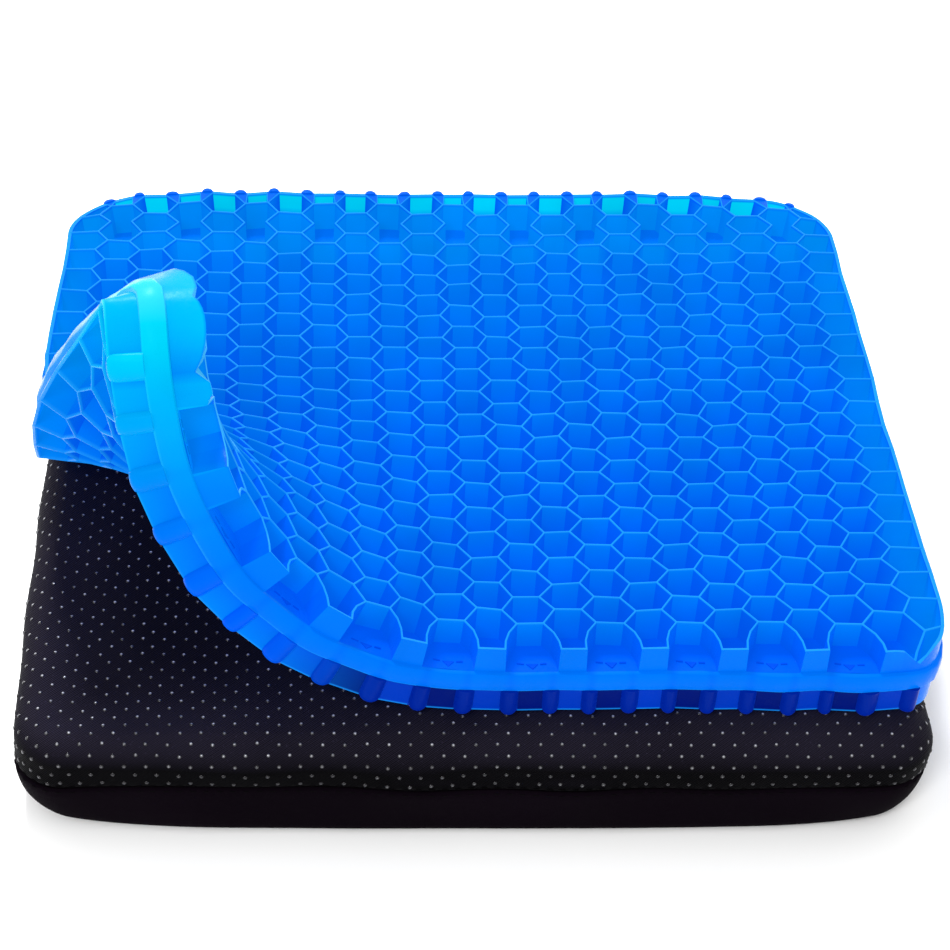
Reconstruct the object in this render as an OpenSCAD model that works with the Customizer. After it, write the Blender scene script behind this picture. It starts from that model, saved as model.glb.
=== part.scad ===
// Seat cushion in two loose layers: a zip-off black cover over a core, and a gel honeycomb pad that lies
// on it with its front left corner curled up. Millimetres, +X right, +Y back, +Z up, origin on the floor.

/* [Cover] */
// width of the cover along X
cover_w = 418; // [380:1:460]
// depth of the cover along Y
cover_d = 370; // [340:1:420]
// height of the filled cover
cover_h = 52; // [40:1:60]
// plan radius of the cover's corners
cover_r = 24; // [15:1:40]
// radius of the soft edge round the top
top_edge = 12; // [6:1:16]
// radius of the soft edge round the bottom
bottom_edge = 8; // [4:1:14]
// height of the side seam and zip above the floor
seam_z = 27; // [20:1:32]
// thickness of the cover fabric
fabric_t = 1.2; // [0.8:0.1:2]

/* [Zip] */
// length of the zipped opening in the rear side
zip_len = 340; // [200:2:350]
// distance between two teeth of one row
tooth_pitch = 5; // [4:0.5:8]
// length of the pull tab below its pin
pull_len = 20; // [14:1:21]

/* [Gel pad] */
// distance between two columns of cells along X
cell_x = 18; // [15:0.5:20]
// distance between two cells of one column along Y
cell_y = 18; // [15:0.5:20]
// number of cell columns
columns = 23; // [21:2:25]
// number of full cells in a column
rows = 18; // [16:1:20]
// thickness of the pad
pad_t = 36; // [30:1:40]
// plan radius of the pad's corners
pad_r = 27; // [20:1:40]
// pad centre to the right of the cover's centre
pad_x = 3; // [-5:0.5:5]
// pad centre behind the cover's centre
pad_y = 13; // [0:0.5:15]

/* [Curl] */
// angle by which the corner is turned up
curl_angle = 52; // [30:1:56]
// distance of the turning axis right of the pad's centre
axis_x = 4; // [-20:1:20]
// distance of the turning axis's fixed point in front of the pad's centre
axis_y = 49; // [20:1:80]
// height of the turning axis above the pad's middle
axis_z = 15; // [5:1:18]
// bearing of the turning axis from the Y axis towards -X
axis_turn = 4; // [0:1:15]
// slope of the turning axis, down towards the back
axis_dip = 8; // [0:1:12]
// pad edge lengths, from the front left corner, at which the bend starts
bend_start_x = 216; // [190:1:230]
bend_start_y = 168; // [140:1:185]
// pad edge lengths, from the front left corner, of the flat raised tip
tip_x = 84; // [60:1:110]
tip_y = 84; // [60:1:110]

/* [Hidden] */
gap = 0.3;
pad_w = columns * cell_x;
pad_d = rows * cell_y + 37;
pad_bottom = cover_h + 0.5;
mid_z = pad_bottom + pad_t / 2;
back = cover_d / 2;
inner = fabric_t + gap;
slot_h = 6;
slot_len = zip_len + 6;
tape_t = 0.8;
axis_at = [pad_x + axis_x, pad_y - axis_y, mid_z + axis_z];
axis_dir = [-sin(axis_turn) * cos(axis_dip), cos(axis_turn) * cos(axis_dip), -sin(axis_dip)];
corner_at = [pad_x - pad_w / 2, pad_y - pad_d / 2];
slider_x = zip_len / 2 - 12;
pin_y = back + 5.2;
pin_z = seam_z + 0.6;

// a ring of points round a rectangle with rounded corners
function ring(w, d, r, z, n = 7) = [for (c = [0:3], i = [0:n]) let(a = c * 90 + i * 90 / n,
    sx = (c == 0 || c == 3) ? 1 : -1, sy = (c < 2) ? 1 : -1)
    [sx * (w / 2 - r) + r * cos(a), sy * (d / 2 - r) + r * sin(a), z]];
// the same ring in plan
function plan(w, d, r) = [for (p = ring(w, d, r, 0)) [p[0], p[1]]];
// a ring of the cover, set in from the outside by i at height z
function cover_ring(i, z) = ring(cover_w - 2 * i, cover_d - 2 * i, max(cover_r - i, 4), z);

// a closed solid through a list of rings, first ring to last ring
module loft(rings) {
    n = len(rings[0]);
    m = len(rings);
    polyhedron(points = [for (r = rings) for (p = r) p], faces = concat(
        [[for (i = [0:n - 1]) i]],
        [for (k = [0:m - 2], i = [0:n - 1]) let(j = (i + 1) % n) [k * n + i, k * n + n + i, k * n + j]],
        [for (k = [0:m - 2], i = [0:n - 1]) let(j = (i + 1) % n) [k * n + j, k * n + n + i, k * n + n + j]],
        [[for (i = [n - 1:-1:0]) (m - 1) * n + i]]));
}

// half a cover profile as [set-in, height] pairs: shrink is how far it lies inside the outer face
function top_profile(s, z0) = concat([[s, z0], [s, cover_h - top_edge]],
    [for (a = [15:15:90]) [top_edge - (top_edge - s) * cos(a), cover_h - top_edge + (top_edge - s) * sin(a)]]);
function bottom_profile(s, z0) = concat([[s, z0], [s, bottom_edge]],
    [for (a = [15:15:90]) [bottom_edge - (bottom_edge - s) * cos(a), bottom_edge - (bottom_edge - s) * sin(a)]]);

// the opening that the zip fills in the rear side
module rear_slot() {
    translate([-slot_len / 2, back - 6, seam_z - slot_h / 2]) cube([slot_len, 12, slot_h]);
}

// dotted fabric over the top and the upper half of the sides
module cover_top_panel() {
    out = top_profile(0, seam_z + 0.2);
    inn = top_profile(fabric_t, seam_z + 0.2);
    color([0.05, 0.05, 0.06]) difference() {
        loft(concat([for (i = [len(inn) - 1:-1:0]) cover_ring(inn[i][0], inn[i][1])],
            [for (p = out) cover_ring(p[0], p[1])]));
        rear_slot();
    }
}

// plain fabric under the cushion and over the lower half of the sides
module cover_bottom_panel() {
    out = bottom_profile(0, seam_z - 0.2);
    inn = bottom_profile(fabric_t, seam_z - 0.2);
    color([0.03, 0.03, 0.035]) difference() {
        loft(concat([for (i = [len(out) - 1:-1:0]) cover_ring(out[i][0], out[i][1])],
            [for (p = inn) cover_ring(p[0], p[1])]));
        rear_slot();
    }
}

// tape sewn over the seam allowance inside the cover, left out behind the zip
module seam_binding() {
    color([0.1, 0.1, 0.1]) difference() {
        translate([0, 0, seam_z - 5]) linear_extrude(10)
            polygon(plan(cover_w - 2 * inner, cover_d - 2 * inner, cover_r - inner));
        translate([0, 0, seam_z - 6]) linear_extrude(12) polygon(plan(cover_w - 2 * (inner + tape_t),
            cover_d - 2 * (inner + tape_t), cover_r - inner - tape_t));
        translate([-slot_len / 2 - 4, back - 20, seam_z - 7]) cube([slot_len + 8, 30, 14]);
    }
}

// core that fills the cover
module foam_core() {
    s = inner + tape_t + gap + 0.4;
    out = concat([for (a = [75:-15:0]) [bottom_edge - (bottom_edge - s) * cos(a), bottom_edge
        - (bottom_edge - s) * sin(a)]], top_profile(s, seam_z));
    color([0.85, 0.83, 0.75]) loft([for (p = out) cover_ring(p[0], p[1])]);
}

// one woven tape of the zip, sewn behind the fabric
module zip_tape(z) {
    color([0.06, 0.06, 0.07]) translate([-slot_len / 2, back - inner - tape_t, z])
        cube([slot_len, tape_t, 10.8]);
}
module zip_tape_upper() zip_tape(seam_z + 0.2);
module zip_tape_lower() zip_tape(seam_z - 11);

// one row of moulded teeth: each tooth has a stem and a wider head
module zip_teeth(side) {
    n = floor((zip_len - 4) / tooth_pitch);
    color([0.12, 0.12, 0.13]) union() {
        translate([-zip_len / 2, back - 1.3, seam_z + (side > 0 ? 1.6 : -2.4)]) cube([zip_len, 1.6, 0.8]);
        for (i = [0:n - 1]) translate([-zip_len / 2 + 2 + (i + (side > 0 ? 0.25 : 0.75)) * tooth_pitch,
            back - 1.3, seam_z]) {
            translate([-0.5, 0, side > 0 ? -0.4 : -2]) cube([1, 2, 2.4]);
            translate([-0.9, 0, side > 0 ? -0.9 : 0.1]) cube([1.8, 2, 0.8]);
        }
    }
}
module zip_teeth_upper() zip_teeth(1);
module zip_teeth_lower() zip_teeth(-1);

// clamped stops at the two ends of the chain
module zip_end_stops() {
    color([0.2, 0.2, 0.21]) for (s = [-1, 1])
        translate([s * (zip_len / 2 + 1.4) - 0.8, back - 1.3, seam_z - 2.2]) cube([1.6, 2.2, 4.4]);
}

// outer wing of the slider, with the two posts and the pin for the pull
module zip_slider() {
    color([0.16, 0.16, 0.17]) translate([slider_x, 0, 0]) union() {
        translate([-6, back + 1, seam_z - 3.4]) cube([8, 1.6, 6.8]);
        translate([2, back + 1, seam_z - 4.2]) cube([4, 1.6, 8.4]);
        for (s = [-1, 1]) translate([s * 3.1 - 0.6, back + 2.4, pin_z - 1.2]) cube([1.2, 3.6, 2.4]);
        translate([-3.2, pin_y, pin_z]) rotate([0, 90, 0]) cylinder(h = 6.4, r = 0.7, $fn = 40);
    }
}

// pull tab with a ring round the slider's pin, hanging down
module zip_pull() {
    color([0.2, 0.2, 0.21]) translate([slider_x, pin_y, pin_z]) difference() {
        union() {
            translate([-2, 0, 0]) rotate([0, 90, 0]) cylinder(h = 4, r = 2.1, $fn = 48);
            translate([-2, -0.7, -5]) cube([4, 1.4, 4]);
            translate([-3.5, -0.7, -pull_len + 3]) cube([7, 1.4, pull_len - 7]);
            translate([0, 0.7, -pull_len + 3]) rotate([90, 0, 0]) cylinder(h = 1.4, r = 3.5, $fn = 48);
        }
        translate([-4, 0, 0]) rotate([0, 90, 0]) cylinder(h = 8, r = 1.1, $fn = 40);
        translate([0, 3, -pull_len + 3]) rotate([90, 0, 0]) cylinder(h = 6, r = 1.6, $fn = 40);
    }
}

// a point of the pad's plan on curve r: 0 where the bend starts, 1 at the tip; s runs from left to front
function bend_plan(r, s) = let(
    a = [0, bend_start_y + (tip_y - bend_start_y) * r],
    b = [bend_start_x + (tip_x - bend_start_x) * r, 0],
    m = [b[0] * 0.78, a[1] * 0.78])
    corner_at + a * (1 - s) * (1 - s) + m * 2 * s * (1 - s) + b * s * s;
// share of the full turn on curve r
function share(r) = r * r * (3 - 2 * r);
// a point turned about the curl's axis by an angle
function turned(p, a) = let(d = p - axis_at, k = axis_dir)
    axis_at + d * cos(a) + cross(k, d) * sin(a) + k * (k * d) * (1 - cos(a));
// plan points of the pad's rounded outline from corner number first to corner number last
function outline(first, last, n = 8) = [for (c = [first:last], i = [0:n]) let(a = c * 90 + i * 90 / n,
    sx = (c == 0 || c == 3) ? 1 : -1, sy = (c < 2) ? 1 : -1)
    [pad_x + sx * (pad_w / 2 - pad_r) + pad_r * cos(a), pad_y + sy * (pad_d / 2 - pad_r) + pad_r * sin(a)]];

// the part of the gel pad that lies flat
module gel_pad() {
    edge = [for (i = [0:12]) bend_plan(0, i / 12)];
    color([0, 0.35, 1]) translate([0, 0, pad_bottom]) linear_extrude(pad_t)
        polygon(concat(outline(0, 1), edge, outline(3, 3)));
}

// the part of the gel pad that bends up, between the flat part and the raised tip
module gel_bend() {
    nr = 14;
    ns = 12;
    r0 = 0.004;
    // the end face slants, so that the tip's lower edge swings past it
    r1 = [0.945, 0.98];
    level = [pad_bottom, mid_z + pad_t / 2];
    pts = [for (h = [0, 1], i = [0:nr], j = [0:ns]) let(r = r0 + (r1[h] - r0) * i / nr,
        q = bend_plan(r, j / ns)) turned([q[0], q[1], level[h]], share(r) * curl_angle)];
    k = ns + 1;
    t = (nr + 1) * k;
    color([0, 0.45, 1]) polyhedron(points = pts, faces = concat(
        [for (i = [0:nr - 1], j = [0:ns - 1]) [i * k + j, i * k + j + 1, i * k + k + j]],
        [for (i = [0:nr - 1], j = [0:ns - 1]) [i * k + j + 1, i * k + k + j + 1, i * k + k + j]],
        [for (i = [0:nr - 1], j = [0:ns - 1]) [t + i * k + j, t + i * k + k + j, t + i * k + j + 1]],
        [for (i = [0:nr - 1], j = [0:ns - 1]) [t + i * k + j + 1, t + i * k + k + j, t + i * k + k + j + 1]],
        [for (j = [0:ns - 1]) [j, t + j, j + 1]],
        [for (j = [0:ns - 1]) [j + 1, t + j, t + j + 1]],
        [for (j = [0:ns - 1]) [nr * k + j, nr * k + j + 1, t + nr * k + j]],
        [for (j = [0:ns - 1]) [nr * k + j + 1, t + nr * k + j + 1, t + nr * k + j]],
        [for (i = [0:nr - 1]) [i * k, i * k + k, t + i * k]],
        [for (i = [0:nr - 1]) [i * k + k, t + i * k + k, t + i * k]],
        [for (i = [0:nr - 1]) [i * k + ns, t + i * k + ns, i * k + k + ns]],
        [for (i = [0:nr - 1]) [i * k + k + ns, t + i * k + ns, t + i * k + k + ns]]));
}

// the raised front left tip of the gel pad
module gel_corner() {
    edge = [for (i = [12:-1:0]) bend_plan(1, i / 12)];
    color([0, 0.55, 1]) translate(axis_at) rotate(a = curl_angle, v = axis_dir) translate(-axis_at)
        translate([0, 0, pad_bottom]) linear_extrude(pad_t) polygon(concat(outline(2, 2), edge));
}

cover_top_panel();
cover_bottom_panel();
seam_binding();
foam_core();
zip_tape_upper();
zip_tape_lower();
zip_teeth_upper();
zip_teeth_lower();
zip_end_stops();
zip_slider();
zip_pull();
gel_pad();
gel_bend();
gel_corner();
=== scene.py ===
import math

import bpy
import numpy as np
from mathutils import Matrix, Vector
from mathutils.bvhtree import BVHTree


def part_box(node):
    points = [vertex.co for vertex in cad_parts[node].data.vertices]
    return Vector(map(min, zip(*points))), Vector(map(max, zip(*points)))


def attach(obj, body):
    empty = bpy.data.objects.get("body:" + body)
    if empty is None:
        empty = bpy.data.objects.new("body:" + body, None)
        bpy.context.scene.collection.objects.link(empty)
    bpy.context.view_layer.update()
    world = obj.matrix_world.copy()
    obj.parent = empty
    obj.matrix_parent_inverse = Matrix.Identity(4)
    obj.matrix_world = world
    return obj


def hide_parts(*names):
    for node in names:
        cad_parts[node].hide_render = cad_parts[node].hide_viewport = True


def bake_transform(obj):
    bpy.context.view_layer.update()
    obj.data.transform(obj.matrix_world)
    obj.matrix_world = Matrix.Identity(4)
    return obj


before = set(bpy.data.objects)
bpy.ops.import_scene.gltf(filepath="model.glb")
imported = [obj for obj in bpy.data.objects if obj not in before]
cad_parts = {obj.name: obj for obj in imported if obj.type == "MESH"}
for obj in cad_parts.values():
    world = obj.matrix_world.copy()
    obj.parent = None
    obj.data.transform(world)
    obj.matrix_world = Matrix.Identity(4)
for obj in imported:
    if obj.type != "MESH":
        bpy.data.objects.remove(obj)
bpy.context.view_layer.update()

MM = 0.001
rng = np.random.default_rng(7)

# ---------------- sizes, in millimetres, as in the CAD
# the gel pad: its middle in plan, half its length, depth and thickness, its plan corners, its middle's height
PAD_X, PAD_Y, MID_Z = 2.3, 16.0, 70.5
HALF_U, HALF_V, HALF_T = 207.0, 180.5, 18.0
PAD_R = 38.0
CORNER_U, CORNER_V = HALF_U - PAD_R, HALF_V - PAD_R
# its cells: a hexagon's half height, and half its width at its flat ends and at its points
PITCH, COLUMNS, ROWS = 18.0, 11, 8
HALF_CELL, FLAT, POINT = 9.0, 6.0, 12.0
CELLS_END = ROWS * PITCH + 2 * HALF_CELL     # the rows of hexagons end here, and the edge cells begin
SIDE = HALF_U - COLUMNS * PITCH              # from the last column's middle to the pad's side
RIM_HALF, EDGE_WALL, WEB, LEDGE = 0.48, 1.7, 1.1, 5.0
# the curled corner: how many degrees it turns, and the axis it turns about
CURL = 52.0
AXIS_AT = np.array([7.0, -36.0, 85.5])
_turn, _dip = math.radians(4), math.radians(8)
AXIS = np.array([-math.sin(_turn) * math.cos(_dip), math.cos(_turn) * math.cos(_dip), -math.sin(_dip)])
# the cover
COVER_W, COVER_D, COVER_H, COVER_R, SEAM_Z = 418.0, 370.0, 52.0, 24.0, 27.0
TOP_EDGE, BOTTOM_EDGE = 12.0, 7.0
ZIP_GAP, GAP_FADE = 2.7, 13.5       # half the gap at the zip, and the height over which it closes
CORNERS = ((1, 1), (-1, 1), (-1, -1), (1, -1))     # the signs of x and y, anticlockwise from above


# ---------------- small helpers
def smooth(x):
    x = np.clip(x, 0.0, 1.0)
    return x * x * (3 - 2 * x)


def waves(x, y, seed, size, n=7):
    """A smooth random field of about unit height, with features about size across."""
    r = np.random.default_rng(seed)
    out = np.zeros(np.shape(x))
    for _ in range(n):
        a, k, p = r.uniform(0, 2 * math.pi), r.uniform(0.6, 1.7) * 2 * math.pi / size, r.uniform(0, 6.28)
        out = out + np.sin((np.cos(a) * x + np.sin(a) * y) * k + p)
    return out / math.sqrt(n / 2)


def new_mesh(name, verts, faces, materials, smooth_angle=None):
    """An object from vertices in millimetres, smooth where faces meet at less than smooth_angle degrees."""
    me = bpy.data.meshes.new(name)
    me.from_pydata([tuple(v) for v in np.asarray(verts, float) * MM], [], [tuple(map(int, f)) for f in faces])
    for m in materials:
        me.materials.append(m)
    me.validate()
    ob = bpy.data.objects.new(name, me)
    bpy.context.scene.collection.objects.link(ob)
    if smooth_angle is not None:
        me.polygons.foreach_set("use_smooth", [True] * len(me.polygons))
        if smooth_angle < 180:
            me.set_sharp_from_angle(angle=math.radians(smooth_angle))
    return ob


class Build:
    """Collects vertices and faces, welding vertices that meet and have the same tag."""

    def __init__(self):
        self.v, self.f, self.key = [], [], {}

    def add(self, u, v, n, tag=0.0):
        k = (round(u, 2), round(v, 2), round(n, 2), round(tag, 2))
        if k not in self.key:
            self.key[k] = len(self.v)
            self.v.append((u, v, n, tag))
        return self.key[k]

    def face(self, ids, flip=False):
        ids = ids[::-1] if flip else ids
        out = [i for a, i in enumerate(ids) if i != ids[a - 1]]
        if len(out) > 2:
            self.f.append(tuple(out))


# ---------------- materials
def material(name):
    m = bpy.data.materials.new(name)
    m.use_nodes = True
    nt = m.node_tree
    nt.nodes.clear()
    p = nt.nodes.new("ShaderNodeBsdfPrincipled")
    nt.links.new(p.outputs[0], nt.nodes.new("ShaderNodeOutputMaterial").inputs["Surface"])
    return m, nt, p


def node(nt, kind, **values):
    n = nt.nodes.new(kind)
    for k, v in values.items():
        if k in n.inputs:
            n.inputs[k].default_value = v
        else:
            setattr(n, k, v)
    return n


def math_node(nt, op, a, b=None):
    n = node(nt, "ShaderNodeMath", operation=op)
    for i, s in enumerate((a, b)):
        if isinstance(s, (int, float)):
            n.inputs[i].default_value = s
        elif s is not None:
            nt.links.new(s, n.inputs[i])
    return n.outputs[0]


def mix_colour(nt, fac, a, b, blend="MIX"):
    n = node(nt, "ShaderNodeMix", data_type="RGBA", blend_type=blend)
    for i, s in ((0, fac), (6, a), (7, b)):     # the factor and the two colours
        if isinstance(s, (int, float)):
            n.inputs[i].default_value = s
        elif isinstance(s, tuple):
            n.inputs[i].default_value = (*s, 1)
        else:
            nt.links.new(s, n.inputs[i])
    return n.outputs[2]


def ramp(nt, fac, lo, hi, a=0.0, b=1.0):
    """fac from lo to hi becomes a to b."""
    n = node(nt, "ShaderNodeMapRange", **{"From Min": lo, "From Max": hi, "To Min": a, "To Max": b})
    nt.links.new(fac, n.inputs["Value"])
    return n.outputs["Result"]


def object_place(nt):
    return nt.nodes.new("ShaderNodeTexCoord").outputs["Object"]


def split(nt, vector):
    """The three parts of a vector."""
    n = nt.nodes.new("ShaderNodeSeparateXYZ")
    nt.links.new(vector, n.inputs[0])
    return n.outputs


def noise(nt, vector, scale, detail):
    n = node(nt, "ShaderNodeTexNoise", Scale=scale, Detail=detail)
    nt.links.new(vector, n.inputs["Vector"])
    return n.outputs["Fac"]


def bump(nt, p, height, strength, distance):
    b = node(nt, "ShaderNodeBump", Strength=strength, Distance=distance)
    nt.links.new(height, b.inputs["Height"])
    nt.links.new(b.outputs[0], p.inputs["Normal"])


GEL_DIFFUSE, GEL_GLOW = 0.26, 0.60


def gel_material():
    """Blue gel: part of its tint is diffuse and part a faint painted glow, an emission that stands in for the light
    that comes through it from all round.
    """
    m, nt, p = material("gel_blue")
    tint = node(nt, "ShaderNodeAttribute", attribute_name="gel_tint")
    place = object_place(nt)
    cloud = noise(nt, place, 24, 3)
    fine = noise(nt, place, 420, 2)
    shade = ramp(nt, cloud, 0.3, 0.7, 0.93, 1.07)
    colour = mix_colour(nt, 1.0, tint.outputs["Color"], shade, "MULTIPLY")
    nt.links.new(mix_colour(nt, 1.0, colour, (GEL_DIFFUSE,) * 3, "MULTIPLY"), p.inputs["Base Color"])
    nt.links.new(mix_colour(nt, 1.0, colour, (GEL_GLOW,) * 3, "MULTIPLY"), p.inputs["Emission Color"])
    p.inputs["Emission Strength"].default_value = 1.0
    nt.links.new(ramp(nt, fine, 0.3, 0.7, 0.22, 0.40), p.inputs["Roughness"])
    p.inputs["IOR"].default_value = 1.25
    p.inputs["Specular IOR Level"].default_value = 0.14
    p.inputs["Specular Tint"].default_value = (0.03, 0.6, 1.0, 1)
    bump(nt, p, fine, 0.12, 0.0006)
    return m


def twill(nt, place, pitch):
    """Diagonal ribs a pitch apart, in metres, with small breaks along each rib, as heights from 0 to 1."""
    x, y, z = split(nt, place)
    up = math_node(nt, "ADD", y, z)
    s, d = math_node(nt, "ADD", x, up), math_node(nt, "SUBTRACT", x, up)
    rib = math_node(nt, "SINE", math_node(nt, "MULTIPLY", s, 2 * math.pi / pitch))
    cross = math_node(nt, "SINE", math_node(nt, "MULTIPLY", d, 2 * math.pi / (pitch * 1.6)))
    h = math_node(nt, "ADD", math_node(nt, "MULTIPLY", rib, 0.36), math_node(nt, "MULTIPLY", cross, 0.12))
    return math_node(nt, "ADD", h, 0.5)


def fabric_material(name, base, light, pitch, sheen, rough, side=1.0):
    """Twill with lint and wear, and painted shade: if side is below 1, fabric that faces sideways or is under the
    pad is darker.
    """
    m, nt, p = material(name)
    place = object_place(nt)
    rib = twill(nt, place, pitch)
    lint = noise(nt, place, 900, 2)
    wear = noise(nt, place, 9, 3)
    c = mix_colour(nt, rib, base, light)
    c = mix_colour(nt, ramp(nt, wear, 0.45, 0.75, 0.0, 0.35), c, tuple(1.5 * x for x in light))
    c = mix_colour(nt, ramp(nt, lint, 0.66, 0.74, 0.0, 0.4), c, tuple(2.2 * x for x in light))
    # painted shade: fabric is darker where it faces sideways
    facing_up = split(nt, nt.nodes.new("ShaderNodeNewGeometry").outputs["Normal"])[2]
    painted_shade = ramp(nt, facing_up, 0.1, 0.95, side, 1.0)
    if side < 1:
        # painted shade, in metres: full strength only along the cover's open front and left side, half under the pad
        x, y, _ = split(nt, place)
        open_part = math_node(nt, "MAXIMUM", ramp(nt, y, -0.125, -0.165, 0.5, 1.0),
                              ramp(nt, x, -0.150, -0.190, 0.5, 1.0))
        painted_shade = math_node(nt, "MULTIPLY", painted_shade, open_part)
    nt.links.new(mix_colour(nt, 1.0, c, painted_shade, "MULTIPLY"), p.inputs["Base Color"])
    nt.links.new(ramp(nt, rib, 0.0, 1.0, rough + 0.1, rough - 0.08), p.inputs["Roughness"])
    p.inputs["Sheen Weight"].default_value = sheen
    p.inputs["Sheen Roughness"].default_value = 0.4
    p.inputs["Sheen Tint"].default_value = (0.75, 0.72, 0.85, 1)
    p.inputs["Specular IOR Level"].default_value = 0.02
    bump(nt, p, rib, 0.6, 0.0004)
    return m


def dot_material():
    """Black rubber dots with a painted highlight: their tips are pale by the amount that a mesh attribute gives."""
    m, nt, p = material("grip_dot")
    place = object_place(nt)
    grit = noise(nt, place, 1500, 2)
    tip = node(nt, "ShaderNodeAttribute", attribute_name="dot_glint")
    body = mix_colour(nt, grit, (0.002, 0.002, 0.003), (0.006, 0.006, 0.008))
    nt.links.new(mix_colour(nt, tip.outputs["Fac"], body, (0.74, 0.74, 0.80)), p.inputs["Base Color"])
    nt.links.new(ramp(nt, grit, 0.3, 0.7, 0.06, 0.11), p.inputs["Roughness"])
    p.inputs["Specular IOR Level"].default_value = 0.28
    return m


def plain_material(name, a, b, scale, rough, metallic=0.0, bump_by=0.2, sheen=0.0, specular=0.5):
    """A grain of two colours, with broad paler patches."""
    m, nt, p = material(name)
    place = object_place(nt)
    g = noise(nt, place, scale, 4)
    s = noise(nt, place, scale / 14, 3)
    c = mix_colour(nt, g, a, b)
    c = mix_colour(nt, ramp(nt, s, 0.55, 0.8, 0.0, 0.5), c, tuple(min(1.0, 1.8 * x) for x in b))
    nt.links.new(c, p.inputs["Base Color"])
    nt.links.new(ramp(nt, g, 0.25, 0.75, rough - 0.08, rough + 0.1), p.inputs["Roughness"])
    p.inputs["Metallic"].default_value = metallic
    p.inputs["Sheen Weight"].default_value = sheen
    p.inputs["Specular IOR Level"].default_value = specular
    bump(nt, p, g, bump_by, 0.0003)
    return m


GEL = gel_material()
FABRIC_TOP = fabric_material("dotted_twill", (0.0008, 0.0006, 0.0013), (0.0170, 0.0145, 0.0260),
                             pitch=0.0013, sheen=0.007, rough=0.6, side=0.06)
FABRIC_LOW = fabric_material("plain_twill", (0.0012, 0.0005, 0.0014), (0.0030, 0.0012, 0.0034),
                             pitch=0.0008, sheen=0.002, rough=0.8)
DOT = dot_material()
THREAD = plain_material("thread", (0.0006, 0.0005, 0.0007), (0.0014, 0.0011, 0.0016), 2500, 0.9, specular=0.05)
TAPE = plain_material("woven_tape", (0.006, 0.006, 0.007), (0.02, 0.02, 0.022), 1800, 0.8, sheen=0.1, bump_by=0.5)
TEETH = plain_material("zip_teeth", (0.008, 0.008, 0.009), (0.022, 0.022, 0.024), 600, 0.35)
METAL = plain_material("zip_metal", (0.02, 0.02, 0.022), (0.06, 0.06, 0.065), 300, 0.34, metallic=0.9)
FOAM = plain_material("core_foam", (0.55, 0.5, 0.36), (0.75, 0.71, 0.56), 500, 0.9, bump_by=0.8)
FLOOR = plain_material("floor_white", (0.97, 0.97, 0.97), (0.99, 0.99, 0.99), 6, 0.6, bump_by=0.0)

for name, finish in (("zip_teeth_upper", TEETH), ("zip_teeth_lower", TEETH), ("zip_end_stops", METAL),
                     ("zip_slider", METAL), ("zip_pull", METAL)):
    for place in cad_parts[name].material_slots:
        place.material = finish


# ---------------- the gel pad's shape
def dome(u, v):
    """How far the pad's middle plane stands above its level height: it follows the puffed cover."""
    U, V = u / 200, v / 180
    droop = 13 * (U * V) ** 4 * (V > 0)
    return 2.6 + 3.4 * U + 0.6 * V + 1.2 * U * U + 4.4 * V * V + 4.2 * U * U * V - droop


def side_bow(u, v):
    """The left side bows out behind the curled corner."""
    return -5.0 * np.exp(-((v - 50) / 68) ** 2) * np.clip((-u - 60) / 140, 0, 1.1)


def curl_share(u, v):
    """How far round the corner's turn a point of the pad goes, from 0 on the flat part to 1 at the tip.

    The numbers are a fit to the pad's outline and cells in the photograph."""
    U, V = (u + 207) / 200, (v + 180) / 180
    rho = (np.abs(u + 234.5) ** 2.69 + np.abs((v + 163.6) * 1.555) ** 2.69) ** (1 / 2.69)
    t = (302 - rho) / 350 - 0.146 * U - 0.267 * V + 0.181 * U * V + 0.039 * U * U + 0.249 * V * V
    only_corner = (1 - smooth((v - 20) / 70)) * (1 - smooth((u - 40) / 70))
    return np.minimum(1.0, 1.174 * smooth(t)) * only_corner


def turned(p, angle):
    """Points p turned about the curl's axis by angle, in radians, one for each point."""
    d = p - AXIS_AT
    c, s = np.cos(angle)[:, None], np.sin(angle)[:, None]
    return AXIS_AT + d * c + np.cross(AXIS[None, :], d) * s + AXIS[None, :] * (d @ AXIS)[:, None] * (1 - c)


def middle(u, v):
    """Points of the pad's middle surface, and the share of the curl's turn at each."""
    w = curl_share(u, v)
    lip = 4.0 * np.exp(-((u - 200) ** 2 + (v + 172) ** 2) / 520)
    flat = np.stack([u + PAD_X + side_bow(u, v) + lip, v + PAD_Y - lip, MID_Z + dome(u, v)], 1)
    return turned(flat, w * math.radians(CURL)), w


def place_pad(uvn):
    """Pad coordinates to millimetres in the frame: the thickness stands square to the bent middle surface."""
    u, v, n = uvn[:, 0], uvn[:, 1], uvn[:, 2]
    at, w = middle(u, v)
    square = np.cross(middle(u + 3, v)[0] - middle(u - 3, v)[0], middle(u, v + 3)[0] - middle(u, v - 3)[0])
    square /= np.linalg.norm(square, axis=1)[:, None]
    thick = n * (1 + np.where(n > 0, 0.20, 0.06) * smooth(w))
    return at + square * thick[:, None], w


def in_corner(u, v):
    """The pad's plan has round corners: a point outside one is pulled onto it."""
    du, dv = abs(u) - CORNER_U, abs(v) - CORNER_V
    d = math.hypot(du, dv)
    if du > 0 and dv > 0 and d > PAD_R:
        return (math.copysign(CORNER_U + du * PAD_R / d, u), math.copysign(CORNER_V + dv * PAD_R / d, v))
    return (u, v)


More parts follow.
